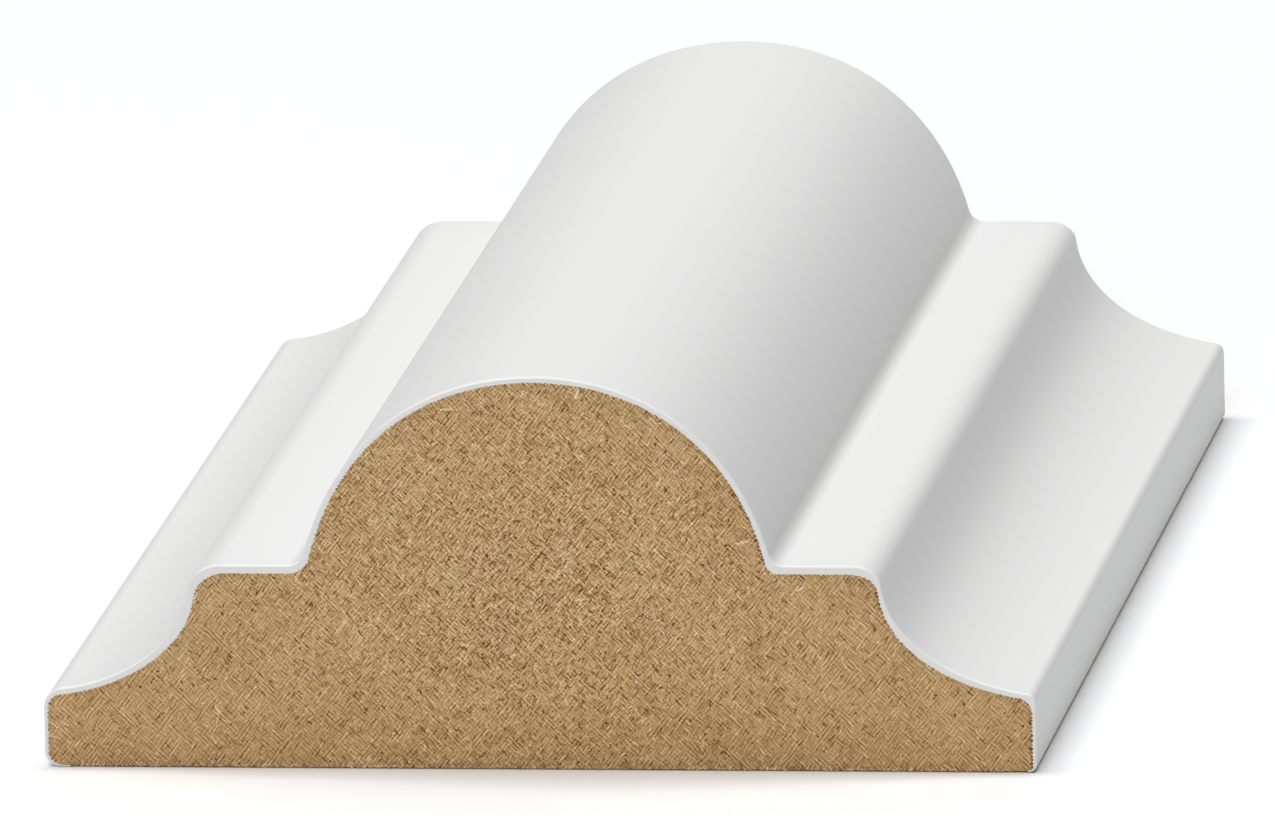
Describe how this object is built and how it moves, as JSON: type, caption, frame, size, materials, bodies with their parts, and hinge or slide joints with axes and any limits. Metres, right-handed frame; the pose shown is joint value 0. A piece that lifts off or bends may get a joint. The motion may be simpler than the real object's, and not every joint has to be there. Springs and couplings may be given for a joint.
{
  "type": "panel moulding",
  "caption": "Square-cut length of fibreboard panel moulding: half-round bead between flats and hollow coves, white-coated face and edges, flat bare back for fixing to a wall or door.",
  "frame": {"origin": "centre of the flat back, which the moulding lies on", "axes": "+Y along the moulding, +X across its width, +Z from the back to the crown of the bead"},
  "size_m": [0.045, 0.082, 0.018],
  "materials": {
    "fibreboard": "bare saw-cut fibreboard, matt and fibrous",
    "white_paint": "smooth white factory coat, satin"
  },
  "bodies": {
    "root": {"mdf_core": "fibreboard", "white_coat": "white_paint"}
  },
  "joints": []
}
